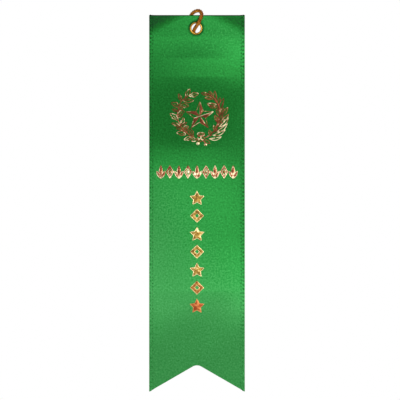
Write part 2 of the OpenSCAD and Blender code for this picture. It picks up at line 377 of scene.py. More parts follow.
route_mm = cord_ends[::-1] + inner_strand[::-1] + wrap_route + outer_strand + other_ends
cord_points, cord_faces, cord_places, cord_route = laid_cord(np.array(route_mm) * MM)
cord = make_piece("hanging_cord", cord_points, cord_faces, cord_look)
texture_places(cord, cord_places, 1.0)

# %% The knot: the cord's own tail wound twice round both strands
knot_turns = 2.3
knot_reach_x = 2.35
knot_reach_y = 1.75
knot_rise = 1.75
knot_start = 0.6
knot_raise = 3.0
knot_steps = 40
end_tuck = 0.75
knot_share = np.linspace(0, 1, knot_steps)
# The last twelfth at each end is drawn in, so that the ends go inside the knot.
tuck = 1 - end_tuck * np.clip(np.abs(2 * knot_share - 1) * 6 - 5, 0, 1)
knot_angle = 2 * np.pi * knot_turns * knot_share + knot_start
knot_middle = (knot_low.z + knot_high.z) / 2 / MM + knot_raise
knot_mm = np.column_stack([
    knot_x / MM + knot_reach_x * tuck * np.cos(knot_angle),
    knot_y / MM + knot_reach_y * tuck * np.sin(knot_angle),
    knot_middle - knot_rise * knot_turns * (knot_share - 0.5),
])
knot_points, knot_faces, knot_places, _ = laid_cord(knot_mm * MM)
knot = make_piece("cord_knot_turns", knot_points, knot_faces, cord_look)
texture_places(knot, knot_places, 1.0)
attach(knot, "hanging_loop")
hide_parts("cord_knot")
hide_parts("cord_wrap", "cord_loop")
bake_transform(cord)
print(f"knot of {knot_turns} turns round the strands at z {knot_middle:.1f} mm")

# %% [markdown]
# ## The satin
# One strip of satin makes the whole ribbon: a short flap behind, a fold over the top, and the long face
# that ends in a swallow tail. A grid of points follows the strip, and its last rows are drawn in to the
# tail's cut. The face isn't flat. It swells over the cord, lies back on the card, and then swings gently
# forward, and that slow change of slope is what makes satin light and dark along its length.

# %% How far the face stands forward of flat, from its slope at each height
fold_mid_r = (head_high.y - head_low.y - satin_t) / 2
fold_y = (head_high.y + head_low.y) / 2
fold_z = top_z - (head_high.y - head_low.y) / 2
slope_table = np.array([
    # height (mm), slope in degrees at the middle; above 0 the face looks up
    (7.0, 0.0), (-4.0, 0.0), (-8.0, 2.5), (-14.0, 4.5), (-20.0, 3.5), (-28.0, -0.5), (-36.0, -3.5),
    (-56.0, -3.2), (-63.0, 0.0), (-70.0, 2.0), (-90.0, 3.8), (-115.0, 4.6), (-138.0, 5.4),
    (-146.0, 3.8), (-158.0, 2.0), (-172.0, 0.8), (-195.0, 1.0),
])
crown_table = np.array([
    # height (mm), how far the middle stands forward of the two edges (mm)
    (7.0, 0.0), (-5.0, 0.0), (-16.0, 1.0), (-26.0, 1.2), (-45.0, 0.6), (-64.0, 0.2), (-100.0, 0.6),
    (-140.0, 0.8), (-175.0, 0.1), (-195.0, -0.5),
])
smoothing = 29
held_above = -4
heights = np.arange(-196.0, 8.0, 0.25)
slope = np.interp(heights, slope_table[::-1, 0], slope_table[::-1, 1])
kernel = np.hanning(smoothing)
slope = np.convolve(np.pad(slope, smoothing // 2, mode="edge"), kernel / kernel.sum(), mode="valid")
lean = np.concatenate([[0], np.cumsum(np.tan(np.radians(slope[1:] + slope[:-1]) / 2) * np.diff(heights))])
lean = lean - lean[-1]
lean[heights > held_above] = 0

# %% Small waves, and the pucker round the eyelet, in millimetres
long_wave = 0.10
long_wave_rate = 0.071
long_wave_slant = 2.4
short_wave = 0.05
short_wave_rate = 0.19
short_wave_slant = 4.1
middle_wave = 0.4
wave_start = 8
wave_growth = 40
pucker_depth = 0.07
puckers = 7
pucker_r = 3.3
pucker_start = 1.2
pucker_fade = 2.2


def lift(x, z):
    """How far the satin's face stands forward (below 0) of the flat face, in metres."""
    z_mm = np.asarray(z) / MM
    across = (np.asarray(x) - mid_x) / half_w
    middle = np.interp(z_mm, heights, lean)
    crown = np.interp(z_mm, crown_table[::-1, 0], crown_table[::-1, 1])
    low = np.clip(-(z_mm + wave_start) / wave_growth, 0, 1)
    ripple = long_wave * low * np.sin(long_wave_rate * z_mm + long_wave_slant * across)
    ripple = ripple * (middle_wave + np.abs(across))
    ripple += short_wave * low * np.sin(short_wave_rate * z_mm - short_wave_slant * across + 1.0)
    radius = np.hypot(np.asarray(x) / MM, z_mm)
    turn = np.arctan2(z_mm, np.asarray(x) / MM)
    from_lip = radius - pucker_r
    pucker = pucker_depth * np.cos(puckers * turn) * np.clip(from_lip / pucker_start, 0, 1)
    pucker = pucker * np.exp(-from_lip / pucker_fade)
    return (middle - crown * (1 - across ** 2) + ripple - np.abs(pucker)) * MM


for down in (140 * MM, -tip_z):
    print(f"the face stands {-lift(0, -down) / MM:.2f} mm forward at {down / MM:.0f} mm below the eyelet")

# %% The strip as a surface
flap_run = fold_z - flap_z
fold_run = math.pi * fold_mid_r
tail_angle = math.radians(30)
tail_root_r = 4.5 * MM


def strip(x, run):
    """The satin's middle layer at x across and run along it, from the flap's hem to the tips."""
    x, run = np.broadcast_arrays(np.asarray(x, float), np.asarray(run, float))
    turn = np.clip((run - flap_run) / fold_run, 0, 1) * np.pi
    over = np.clip(run - flap_run - fold_run, 0, None)
    z = np.where(run < flap_run, flap_z + run, fold_z + fold_mid_r * np.sin(turn) - over)
    y = fold_y + fold_mid_r * np.cos(turn)
    y = np.where(over > 0, y + lift(x, z), y)
    return np.stack([x, y, z], axis=-1)


def strip_normal(x, run):
    """The direction square to the strip, outwards from its shiny side."""
    small = 0.1 * MM
    across = strip(x + small, run) - strip(x - small, run)
    along = strip(x, run + small) - strip(x, np.maximum(run - small, 0))
    square = np.cross(along, across)
    return square / np.linalg.norm(square, axis=-1)[..., None]


def tail_run(x):
    """Where the strip ends at x: two straight cuts that meet in a round root."""
    x = x - mid_x
    root_x = tail_root_r * math.sin(tail_angle)
    straight = tip_z + (half_w - np.abs(x)) * math.tan(tail_angle)
    root_z = tip_z + (half_w - root_x) * math.tan(tail_angle) - tail_root_r * math.cos(tail_angle)
    arc = root_z + np.sqrt(np.clip(tail_root_r ** 2 - x ** 2, 0, None))
    end_z = np.where(np.abs(x) < root_x, arc, straight)
    return flap_run + fold_run + fold_z - end_z


# %% A thick sheet from its middle layer, with the hole for the eyelet
barrel_r = 2.7 * MM
hole_gap = 0.1 * MM
hole_bite = 0.2 * MM
hole_r = barrel_r + hole_gap


def thick_sheet(layer, outward, thickness):
    """A closed sheet from a grid of points and the direction it faces. Returns its points, its faces and
    which of the grid's points, face first and then back, are in use."""
    rows, cols = layer.shape[:2]
    from_eyelet = np.hypot(layer[..., 0], layer[..., 2])
    gone = from_eyelet < hole_r - hole_bite
    kept = ~(gone[:-1, :-1] | gone[1:, :-1] | gone[:-1, 1:] | gone[1:, 1:])
    index = np.arange(rows * cols).reshape(rows, cols)
    quads = np.stack([index[:-1, :-1], index[:-1, 1:], index[1:, 1:], index[1:, :-1]], axis=-1)[kept].tolist()
    edges = {(a, b) for quad in quads for a, b in zip(quad, quad[1:] + quad[:1])}
    rim = [(a, b) for a, b in sorted(edges) if (b, a) not in edges]
    reach = from_eyelet.ravel()
    hole = sorted({v for edge in rim for v in edge if reach[v] < 2 * hole_r})
    flat = layer.reshape(-1, 3).copy()
    flat[hole, 0] *= hole_r / reach[hole]
    flat[hole, 2] *= hole_r / reach[hole]
    out = np.broadcast_to(outward, layer.shape).reshape(-1, 3) * thickness / 2
    points = np.vstack([flat + out, flat - out])
    total = rows * cols
    faces = [tuple(reversed(q)) for q in quads] + [tuple(total + v for v in q) for q in quads]
    faces += [(a, b, total + b, total + a) for a, b in rim]
    used = np.zeros(2 * total, bool)
    used[np.unique(np.concatenate([np.ravel(f) for f in faces]))] = True
    number = np.cumsum(used) - 1
    return points[used], [tuple(int(number[v]) for v in f) for f in faces], used


# %% The strip's grid: rows along it, and the last of them drawn in to the tail's cut
cell = 0.62 * MM
fold_rows = 10
drawn_in = 40 * MM
tail_start = flap_run + fold_run + fold_z - (tip_z + drawn_in)
columns = np.linspace(mid_x - half_w, mid_x + half_w, round(2 * half_w / cell) + 1)
plain_rows = np.concatenate([
    np.linspace(0, flap_run, round(flap_run / cell), endpoint=False),
    np.linspace(flap_run, flap_run + fold_run, fold_rows, endpoint=False),
    np.linspace(flap_run + fold_run, tail_start, round((tail_start - flap_run - fold_run) / cell),
                endpoint=False),
])
tail_rows = np.linspace(0, 1, round(drawn_in / cell))
grid_run = np.vstack([
    np.repeat(plain_rows[:, None], len(columns), axis=1),
    tail_start + tail_rows[:, None] * (tail_run(columns) - tail_start)[None, :],
])
grid_x = np.broadcast_to(columns, grid_run.shape)
satin_layer = strip(grid_x, grid_run)
satin_points, satin_faces, used = thick_sheet(satin_layer, strip_normal(grid_x, grid_run), satin_t)
satin_span = float(grid_run.max())
satin_places = np.column_stack([grid_x.ravel() - mid_x + half_w, grid_run.ravel()])
satin_places = np.vstack([satin_places, satin_places])[used]
print(f"satin strip {satin_span / MM:.1f} mm long when flat, {len(satin_faces)} faces")

# %% [markdown]
# ### The satin's finish
# Satin shines because its long warp threads float over the weft. Each thread throws a highlight that is
# wide across the ribbon and narrow along it, so the shader is anisotropic with its tangent across. The
# colour varies a little from thread to thread, and the picks show as a faint rib. Most of the light and
# shade comes from the slope of the face. Painted light and shade in the colour helps it: lighter and
# darker stretches down the length, a left side that differs from the right, painted shade in the two
# upper corners and painted shade round the eyelet's lip.

# %% The satin's material
# Greens from painted shade to painted highlight; the grain and the carried painted light pick the place along
# them
satin_greens_shaded_to_lit = [(0.0, (0.001, 0.02, 0.002)), (0.25, (0.0012, 0.070, 0.004)), (0.5, (0.010, 0.158, 0.023)),
                (0.75, (0.046, 0.268, 0.068)), (1.0, (0.11, 0.41, 0.145))]
green_glint = (0.24, 1.0, 0.38, 1)
satin_look, tree, shader = new_material(
    "green_satin", Metallic=0.45, Roughness=0.38, Anisotropic=0.65, Specular_IOR_Level=0.45,
    Specular_Tint=green_glint)
satin_uv = node(tree, "ShaderNodeUVMap", uv_map="UVMap")


def yarns(across, along, detail, roughness):
    """Grey patches with this many to a millimetre, across the ribbon and along it."""
    span_mm = satin_span / MM
    place = node(tree, "ShaderNodeMapping", {"Vector": satin_uv.outputs["UV"],
                                             "Scale": (span_mm * across, span_mm * along, 1)})
    return noise(tree, 1.0, detail, roughness, place.outputs[0])


warp = yarns(across=1.5, along=0.8, detail=3.0, roughness=0.5)
weft = yarns(across=0.9, along=1.3, detail=4.0, roughness=0.65)
weft_share = 0.6
grain = node(tree, "ShaderNodeMix", {0: weft_share, 2: warp, 3: weft}, data_type="FLOAT").outputs[0]
# The grain is the weave's own random tone, and the carried attribute adds painted light and shade
level = with_carried(tree, grain, gain=0.9, offset=-0.45, attribute="painted_light_and_shade")
dress(tree, shader, ramp(tree, level, satin_greens_shaded_to_lit), height=grain, strength=0.35, depth=0.1 * MM)
across_way = node(tree, "ShaderNodeTangent", direction_type="UV_MAP", uv_map="UVMap")
tree.links.new(across_way.outputs[0], shader.inputs["Tangent"])

# %% Painted light and shade on the satin's colour, in millimetres from the eyelet's centre
painted_light_down = np.array([
    # height (mm), painted light at the middle, how much more of it the left-hand side has
    (7.0, 0.47, -0.08), (-12.0, 0.45, -0.02), (-22.0, 0.37, 0.05), (-60.0, 0.38, -0.04),
    (-68.0, 0.40, 0.02), (-76.0, 0.48, 0.05), (-110.0, 0.52, 0.14), (-136.0, 0.62, 0.08),
    (-148.0, 0.71, 0.02), (-160.0, 0.68, 0.0), (-195.0, 0.70, 0.0),
])
# Painted shade in the two upper corners, with a soft diagonal edge
corner_shade = 0.36
corner_start = 0.16
corner_drop = 13.5
corner_soft = 5.0
# Painted shade in a thin ring round the eyelet's lip
rim_shade = 0.48
rim_r = 3.65
rim_soft = 0.45


def painted_light_at(points):
    """The painted light at each point, with painted shade in the two upper corners and round the eyelet's
    lip.
    """
    z_mm = points[:, 2] / MM
    across = (points[:, 0] - mid_x) / half_w
    middle = np.interp(z_mm, painted_light_down[::-1, 0], painted_light_down[::-1, 1])
    left_share = np.interp(z_mm, painted_light_down[::-1, 0], painted_light_down[::-1, 2])
    into_corner_shade = z_mm - top_z / MM + corner_drop * (np.abs(across) - corner_start)
    corner = corner_shade * np.clip(into_corner_shade / corner_soft, 0, 1)
    from_eyelet = np.hypot(points[:, 0] / MM, z_mm)
    rim = rim_shade * np.exp(-((from_eyelet - rim_r) / rim_soft) ** 2)
    return np.clip(middle - left_share * across - corner - rim, 0.02, 1)


def carry(mesh, label, values):
    """Gives a mesh one number for each point, which a material can read by its label."""
    made = mesh.attributes.new(label, "FLOAT", "POINT")
    made.data.foreach_set("value", np.asarray(values, np.float32))


def points_of(mesh):
    """A mesh's points as an array with one row for each."""
    points = np.empty(3 * len(mesh.vertices))
    mesh.vertices.foreach_get("co", points)
    return points.reshape(-1, 3)


# %% The ribbon
ribbon = make_piece("satin_ribbon", satin_points, satin_faces, satin_look, sharp_angle=50)
texture_places(ribbon, satin_places, satin_span)
# The satin's colour carries painted light and shade
carry(ribbon.data, "painted_light_and_shade", painted_light_at(points_of(ribbon.data)))
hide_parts("ribbon_head", "ribbon_tail")
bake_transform(ribbon)

# %% [markdown]
# ## Two Geometry Nodes trees
# Two things repeat on a ribbon: small picks at an even pitch along its woven edges, and pressed lines
# that follow the outline of every mark. Each gets one tree. A tree takes bare edges, so the route is
# worked out in plain code, and the sizes are named inputs. The result is turned into a plain mesh.

# %% A tree with named inputs
def new_tree(name, *sizes):
    """A Geometry Nodes tree with a material input and a number input for each size named."""
    made = bpy.data.node_groups.new(name, "GeometryNodeTree")
    made.is_modifier = True
    made.interface.new_socket("Geometry", in_out="INPUT", socket_type="NodeSocketGeometry")
    made.interface.new_socket("Geometry", in_out="OUTPUT", socket_type="NodeSocketGeometry")
    made.interface.new_socket("Material", in_out="INPUT", socket_type="NodeSocketMaterial")
    for label in sizes:
        made.interface.new_socket(label, in_out="INPUT", socket_type="NodeSocketFloat")
    return made, node(made, "NodeGroupInput").outputs


def close_tree(made, given, geometry):
    """Ends a tree: its instances are made real and given the material."""
    real = node(made, "GeometryNodeRealizeInstances", {"Geometry": geometry})
    painted = node(made, "GeometryNodeSetMaterial", {"Geometry": real.outputs[0],
                                                     "Material": given["Material"]})
    node(made, "NodeGroupOutput", {0: painted.outputs[0]})


# %% Tree one: picks at an even pitch along a route
pick_tree, given = new_tree("picks_along_an_edge", "Pitch", "Pick width", "Pick height", "Pick length")
curve = node(pick_tree, "GeometryNodeMeshToCurve", {"Mesh": given["Geometry"]})
turned = node(pick_tree, "GeometryNodeSetCurveNormal", {"Curve": curve.outputs[0], "Normal": (1, 0, 0)},
              mode="FREE")
spots = node(pick_tree, "GeometryNodeCurveToPoints", {"Curve": turned.outputs[0], "Length": given["Pitch"]},
             mode="LENGTH")
pip = node(pick_tree, "GeometryNodeMeshUVSphere", {"Segments": 8, "Rings": 5, "Radius": 0.5})
pip_size = node(pick_tree, "ShaderNodeCombineXYZ", {"X": given["Pick width"], "Y": given["Pick height"],
                                                    "Z": given["Pick length"]})
pips = node(pick_tree, "GeometryNodeInstanceOnPoints", {
    "Points": spots.outputs["Points"], "Instance": pip.outputs["Mesh"],
    "Rotation": spots.outputs["Rotation"], "Scale": pip_size.outputs[0]})
close_tree(pick_tree, given, pips.outputs[0])

# %% Tree two: a line of even width that follows a route
line_tree, given = new_tree("line_along_a_route", "Line width", "Sides")
curve = node(line_tree, "GeometryNodeMeshToCurve", {"Mesh": given["Geometry"]})
half_width = node(line_tree, "ShaderNodeMath", {0: given["Line width"], 1: 0.5}, operation="MULTIPLY")
profile = node(line_tree, "GeometryNodeCurvePrimitiveCircle", {
    "Resolution": given["Sides"], "Radius": half_width.outputs[0]}, mode="RADIUS")
line = node(line_tree, "GeometryNodeCurveToMesh", {
    "Curve": curve.outputs[0], "Profile Curve": profile.outputs[0], "Fill Caps": True})
close_tree(line_tree, given, line.outputs[0])


# %% Growing a tree on routes
def grown(routes, tree_used, material, painted_highlight=None, closed=False, **sizes):
    """The mesh that a tree grows on routes, a list of point lists. painted_highlight is one number for each
    route, the level of painted highlight on its foil.
    """
    edges, first = [], 0
    for route in routes:
        edges += [(first + k, first + k + 1) for k in range(len(route) - 1)]
        edges += [(first + len(route) - 1, first)] * closed
        first += len(route)
    mesh = bpy.data.meshes.new("routes")
    mesh.from_pydata(np.vstack(routes).tolist(), edges, [])
    if painted_highlight is not None:
        carry(mesh, "painted_highlight", np.repeat(painted_highlight, [len(route) for route in routes]))
    grower = placed("routes", mesh)
    modifier = grower.modifiers.new("grow", "NODES")
    modifier.node_group = tree_used
    wanted = {"Material": material, **{key.replace("_", " "): value for key, value in sizes.items()}}
    for item in tree_used.interface.items_tree:
        if item.in_out == "INPUT" and item.name in wanted:
            modifier[item.identifier] = wanted[item.name]
    bpy.context.view_layer.update()
    finished = grower.evaluated_get(bpy.context.evaluated_depsgraph_get())
    result = bpy.data.meshes.new_from_object(finished)
    bpy.data.objects.remove(grower)
    bpy.data.meshes.remove(mesh)
    return result


# %% [markdown]
# ### The woven edges
# Where the weft turns round at each side of the ribbon it leaves small picks, one for about every two
# millimetres. Tree one sets them along four routes, an outer and an inner one at each side, that follow
# the strip from hem to tip. Their green comes from the same stops and the same painted light and shade as the
# satin's.

# %% Picks on both woven edges, bending with the satin
edge_look, tree, shader = new_material("woven_edge", Metallic=0.3, Roughness=0.45, Specular_Tint=green_glint)
mottle = noise(tree, scale=900.0, detail=2.0)
# Random mottle, plus the painted light and shade carried from the satin
level = with_carried(tree, mottle, gain=0.9, offset=-0.52, attribute="painted_light_and_shade")
dress(tree, shader, ramp(tree, level, satin_greens_shaded_to_lit))
pick_h = 0.16 * MM
pick_share = 0.55
hem_gap = 0.4 * MM
tip_gap = 0.3 * MM
route_spacing = 0.15 * MM
pick_rows = [
    # name, how far in from the edge, pitch, width of a pick
    ("outer", 0.8 * MM, 2.15 * MM, 1.2 * MM),
    ("inner", 1.95 * MM, 1.7 * MM, 0.7 * MM),
]
for side_name, side in (("left", -1), ("right", 1)):
    for row_name, inset, pitch, wide in pick_rows:
        edge_x = mid_x + side * (half_w - inset)
        run = np.arange(hem_gap, float(tail_run(np.array([edge_x]))[0]) - tip_gap, route_spacing)
        route = strip(edge_x, run) + strip_normal(edge_x, run) * satin_t / 2
        picks = placed(f"edge_picks_{side_name}_{row_name}", grown(
            [route], pick_tree, edge_look, Pitch=pitch, Pick_width=wide, Pick_height=pick_h,
            Pick_length=pick_share * pitch))
        picks.data.shade_smooth()
        # The picks carry the satin's painted light and shade
        carry(picks.data, "painted_light_and_shade", painted_light_at(points_of(picks.data)))
        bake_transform(picks)
        print(f"{picks.name}: {len(picks.data.polygons)} faces")

# %% [markdown]
# ## The eyelet
# An eyelet is one drawn brass cup. Its rolled lip shows in front, its barrel goes through the layers,
# and its end is split and clinched outwards behind. One closed profile is turned about the hole's
# axis, and the clinched end is then pulled in and out six times round, where the brass split.

# %% The eyelet's profile, turned about its axis
eyelet_profile = np.array([
    (2.45, 0.95), (2.45, -0.25), (2.47, -0.44), (2.55, -0.62), (2.70, -0.74), (2.90, -0.80), (3.10, -0.78),
    (3.28, -0.68), (3.40, -0.53), (3.45, -0.39), (3.42, -0.29), (3.30, -0.27), (2.70, -0.27), (2.70, 0.92),
    (3.15, 0.91), (3.30, 0.96), (3.35, 1.08), (3.28, 1.22), (3.08, 1.32), (2.85, 1.33), (2.64, 1.25),
    (2.50, 1.10),
]) * MM
eyelet_steps = 120
petals = 6
petal_depth = 0.13 * MM
clinch_y = 0.9
clinch_depth = 0.3
clinch_r = 2.75 * MM
around = np.linspace(0, 2 * np.pi, eyelet_steps, endpoint=False)
radius = np.repeat(eyelet_profile[None, :, 0], eyelet_steps, axis=0)
clinched = np.clip((eyelet_profile[:, 1] / MM - clinch_y) / clinch_depth, 0, 1)
clinched = clinched * (eyelet_profile[:, 0] > clinch_r)
split = np.abs(np.cos(petals * around / 2)) ** 0.5 - 1
radius = radius + petal_depth * split[:, None] * clinched[None, :]
eyelet_points = np.stack([radius * np.cos(around)[:, None],
                          np.broadcast_to(eyelet_profile[:, 1], radius.shape),
                          radius * np.sin(around)[:, None]], axis=-1).reshape(-1, 3)
eyelet_faces = ring_quads(eyelet_steps, len(eyelet_profile), closed=True)

# %% Brass: warm, brushed by the die, a little dull where hands don't rub it
brass_look, tree, shader = new_material("drawn_brass", Metallic=1.0, Roughness=0.42)
brass_golds = [(0.32, (0.24, 0.105, 0.012)), (0.5, (0.45, 0.25, 0.036)), (0.72, (0.63, 0.40, 0.08))]
cloud = noise(tree, scale=330.0, detail=4.0)
scratch = noise(tree, scale=2600.0, detail=2.0)
dress(tree, shader, ramp(tree, cloud, brass_golds), height=scratch, strength=0.25, depth=0.04 * MM)
eyelet = make_piece("brass_eyelet", eyelet_points, eyelet_faces, brass_look)
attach(eyelet, "head")
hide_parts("eyelet")
print(f"eyelet {2 * eyelet_profile[:, 0].max() / MM:.1f} mm over its lip")

# %% [markdown]
# ## The card
# A plain card is held between the face and the flap, for writing the event and the date. It is thin
# board, so it is made the way the satin is, from a grid, with its free lower corners curling back a
# little. Its ruled lines are printed ink, grown by tree two and pressed almost flat.

# %% The card
card_low, card_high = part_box("event_card")
card_t = card_high.y - card_low.y
card_cell = 0.9 * MM
card_curl = 0.55 * MM
curl_reach = 30 * MM
card_x = np.linspace(card_low.x, card_high.x, round((card_high.x - card_low.x) / card_cell) + 1)
card_z = np.linspace(card_high.z, card_low.z, round((card_high.z - card_low.z) / card_cell) + 1)


def card_surface(x, z):
    """The card's middle layer: flat where it is held, its lower corners curled back."""
    low = np.clip((card_low.z + curl_reach - z) / curl_reach, 0, 1)
    wide = np.clip(np.abs(x - mid_x) / (card_high.x - mid_x), 0, 1)
    y = (card_low.y + card_high.y) / 2 + card_curl * low ** 2 * wide ** 2
    return np.stack(np.broadcast_arrays(x, y, z), axis=-1)


card_layer = card_surface(card_x[None, :], card_z[:, None])
card_points, card_faces, _ = thick_sheet(card_layer, np.array([0, -1.0, 0]), card_t)
card_look, tree, shader = new_material("ivory_board", Roughness=0.72)
board_ivories = [(0.3, (0.62, 0.57, 0.45)), (0.7, (0.74, 0.70, 0.60))]
pulp = noise(tree, scale=260.0, detail=8.0, roughness=0.7)
dress(tree, shader, ramp(tree, pulp, board_ivories), height=pulp, strength=0.3, depth=0.05 * MM)
card = make_piece("event_card_board", card_points, card_faces, card_look)
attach(card, "head")
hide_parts("event_card")

# %% The card's ruled lines
rule_count = 5
rule_margin = 4.5 * MM
rule_top_gap = 8 * MM
rule_foot_gap = 6 * MM
rule_steps = 40
rule_line = 0.28 * MM
ink_flatness = 0.15
rule_heights = np.linspace(flap_z - rule_top_gap, card_low.z + rule_foot_gap, rule_count)
rule_x = np.linspace(card_low.x + rule_margin, card_high.x - rule_margin, rule_steps)
rule_routes = [card_surface(rule_x, z) + (0, card_t / 2, 0) for z in rule_heights]
ink_look, tree, shader = new_material("printed_ink", Roughness=0.5)
ink_greens = [(0.35, (0.02, 0.06, 0.03)), (0.75, (0.09, 0.17, 0.10))]
dress(tree, shader, ramp(tree, noise(tree, scale=1500.0, detail=3.0), ink_greens))
rules_mesh = grown(rule_routes, line_tree, ink_look, Line_width=rule_line, Sides=6)
rule_points = points_of(rules_mesh)
printed = card_surface(rule_points[:, 0], rule_points[:, 2])[:, 1] + card_t / 2
rule_points[:, 1] = printed + ink_flatness * (rule_points[:, 1] - printed)
rules_mesh.vertices.foreach_set("co", rule_points.ravel())
rules = placed("card_rules", rules_mesh)
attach(rules, "head")
print(f"{rule_count} rules from z {rule_heights[0] / MM:.0f} to {rule_heights[-1] / MM:.0f} mm")

# %% [markdown]
# ## The foil
# A hot die presses thin foil into the satin, so every mark is a skin of metal with a slightly raised
# edge. Marks are made of two things: plates, which are low cushions of foil inside an outline, and
# lines, grown by tree two along the outlines. Both are drawn flat in millimetres, with a height above
# the cloth, and then laid on the satin's own surface, so no mark floats or sinks.

# %% Outlines, drawn flat as (across, up) points in millimetres
lobe_depth = 0.16
lobed_fullness = 0.7


def leaf_outline(length, width, lobes=0, points=13):
    """A closed leaf from its foot at the origin up to its tip. Lobes make its sides wavy."""
    t = np.linspace(0, 1, points)
    swell = np.sin(np.pi * t) ** (lobed_fullness if lobes else 1.0)
    swell = swell * (1 - lobe_depth * (1 - np.cos(2 * np.pi * lobes * t)) * (lobes > 0))
    right = np.column_stack([width / 2 * swell, length * t])
    return np.vstack([right, (right * (-1, 1))[-2:0:-1]])


def leaf_between(foot, tip, width, bow=0.0, lobes=0):
    """A leaf from its foot to its tip, bowed sideways at the middle. The bow is to its right when above 0."""
    reach = np.subtract(tip, foot)
    outline = leaf_outline(np.linalg.norm(reach), width, lobes)
    along = outline[:, 1] / np.linalg.norm(reach)
    outline = outline + np.column_stack([bow * np.sin(np.pi * along), np.zeros(len(outline))])
    return moved(outline, math.degrees(math.atan2(-reach[0], reach[1])), foot)


def oval_outline(across, up, wide, high, points=16):
    """A closed oval round the point (across, up)."""
    a = np.linspace(0, 2 * np.pi, points, endpoint=False)
    return np.column_stack([across + wide / 2 * np.cos(a), up + high / 2 * np.sin(a)])


def moved(points, degrees=0.0, by=(0, 0)):
    """Points turned anticlockwise about the origin and then moved."""
    c, s = math.cos(math.radians(degrees)), math.sin(math.radians(degrees))
    return np.asarray(points, float) @ np.array([[c, s], [-s, c]]) + by


def finer(points, step=0.7, closed=True):
    """The same outline with more points along its straight sides."""
    points = np.asarray(points, float)
    ends = np.roll(points, -1, axis=0) if closed else points[1:]
    parts = [a + (b - a) * np.arange(n)[:, None] / n
             for a, b in zip(points, ends)
             for n in [max(1, math.ceil(np.linalg.norm(b - a) / step))]]
    return np.vstack(parts + ([] if closed else [points[-1:]]))


# %% Plates and bands of foil, as points (across, up, height) and faces
rim_h = 0.05
crown_h = 0.13
sunk_h = -0.04
shoulder_share = 0.55


def plate(outline, crown=crown_h):
    """A low cushion that fills an outline: a rim, a shoulder and a crown, closed behind."""
    outline = finer(outline)
    middle = outline.mean(axis=0)
    n = len(outline)
    shoulder = middle + shoulder_share * (outline - middle)
    rings = [(outline, sunk_h), (outline, rim_h), (shoulder, crown)]
    points = [np.column_stack([p, np.full(n, h)]) for p, h in rings]
    points += [np.array([[*middle, crown]]), np.array([[*middle, sunk_h]])]
    faces = ring_quads(len(rings), n)
    faces += [(2 * n + k, 2 * n + (k + 1) % n, 3 * n) for k in range(n)]
    faces += [((k + 1) % n, k, 3 * n + 1) for k in range(n)]
    return np.vstack(points), faces


def band(outer, share, crown=crown_h):
    """An outline with a smaller copy of it cut out, raised along the middle of the band."""
    outer = finer(outer)
    middle = outer.mean(axis=0)
    n = len(outer)
    rings = [(1, sunk_h), (1, rim_h), ((1 + share) / 2, crown), (share, rim_h), (share, sunk_h)]
    points = np.vstack([np.column_stack([middle + s * (outer - middle), np.full(n, h)]) for s, h in rings])
    return points, ring_quads(len(rings), n, closed=True)


# %% A mark: its plates and lines, laid on the satin
line_flatness = 0.55


def pressed_mark(name, stands_for, foil_look, centre, plates, lines, fade=(0, 0), warm=0.0):
    """One foil piece. plates are (points, faces, painted highlight) and lines (outline, closed, width,
    painted highlight), all in millimetres. fade is the change of painted highlight at the mark's foot and
    at its top, and warm is its share of copper colour."""
    all_points = [p for p, _, _ in plates]
    all_painted_highlight = [np.full(len(p), s) for p, _, s in plates]
    all_faces, first = [], 0
    for points, faces, _ in plates:
        all_faces += [tuple(first + v for v in face) for face in faces]
        first += len(points)
    for closed, width in sorted({(closed, width) for _, closed, width, _ in lines}):
        chosen = [(outline, s) for outline, c, w, s in lines if (c, w) == (closed, width)]
        routes = [np.insert(np.asarray(outline, float), 1, 0, axis=1) * MM for outline, _ in chosen]
        mesh = grown(routes, line_tree, foil_look, painted_highlight=[s for _, s in chosen], closed=closed,
                     Line_width=width * MM, Sides=8)
        flat = points_of(mesh) / MM
        all_points.append(np.column_stack([flat[:, 0], flat[:, 2], -line_flatness * flat[:, 1] + rim_h / 2]))
        painted_highlight = np.empty(len(mesh.vertices))
        mesh.attributes["painted_highlight"].data.foreach_get("value", painted_highlight)
        all_painted_highlight.append(painted_highlight)
        all_faces += [tuple(first + v for v in polygon.vertices) for polygon in mesh.polygons]
        first += len(flat)
        bpy.data.meshes.remove(mesh)
    points, painted_highlight = np.vstack(all_points), np.concatenate(all_painted_highlight)
    up = (points[:, 1] - points[:, 1].min()) / np.ptp(points[:, 1])
    painted_highlight = painted_highlight + fade[0] + (fade[1] - fade[0]) * up
    x, z = centre[0] + points[:, 0] * MM, centre[1] + points[:, 1] * MM
    laid = np.column_stack([x, face_y + lift(x, z) - points[:, 2] * MM, z])
    made = make_piece(name, laid, all_faces, foil_look)
    # The foil's colour carries a level of painted highlight
    carry(made.data, "painted_highlight", painted_highlight)
    carry(made.data, "warm", np.full(len(painted_highlight), warm))
    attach(made, "tail")
    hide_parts(stands_for)


# %% The foil's two finishes: copper for the emblem and the row, gold for the column
copper_warms = [(0.1, (0.30, 0.05, 0.012)), (0.9, (0.62, 0.21, 0.06))]
foil_levels = (0.1, 0.48, 0.80)


